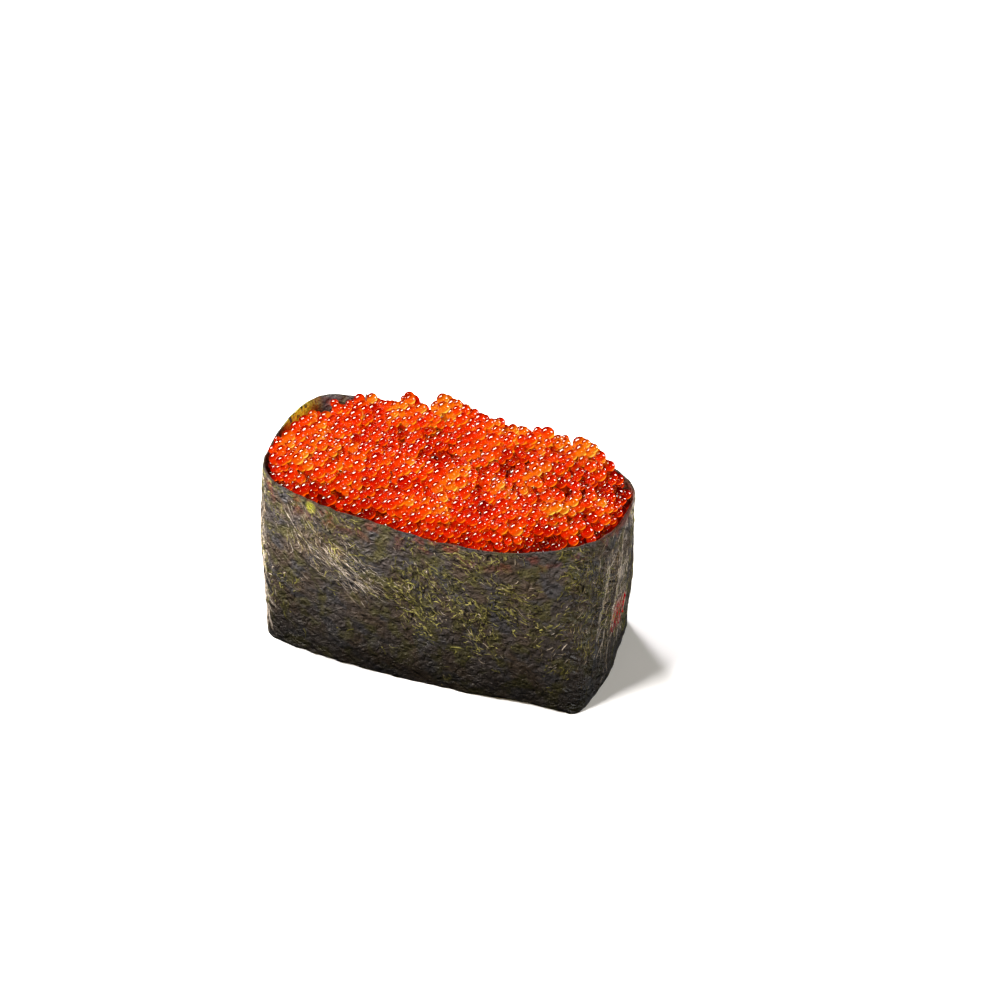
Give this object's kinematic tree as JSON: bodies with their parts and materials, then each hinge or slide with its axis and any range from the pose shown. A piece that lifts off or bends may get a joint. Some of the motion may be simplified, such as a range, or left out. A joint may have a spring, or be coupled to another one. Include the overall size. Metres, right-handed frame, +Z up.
{
  "type": "tobiko sushi",
  "caption": "Gunkan sushi: a block of pressed rice wound with an upright, crinkled strip of nori and heaped with glossy orange flying fish roe.",
  "frame": {"origin": "middle of the foot, at the height of the rice grains that the piece stands on", "axes": "+X along the length, towards the end where the front of the foot has its sharp corner; -Y is the long front side of the picture and +Y the long back side, where the strip's end laps over; +Z up"},
  "size_m": [0.0542, 0.0284, 0.035],
  "materials": {
    "nori": "toasted seaweed, nearly black with olive flecks, finely crinkled, with a dull silky sheen",
    "rice": "cooked short-grain rice, cream white, slightly translucent and moist",
    "roe": "wet, translucent orange to deep red fish eggs"
  },
  "bodies": {
    "root": {"nori_wrap": "nori", "rice_block": "rice", "tobiko_heap": "roe"}
  },
  "joints": []
}
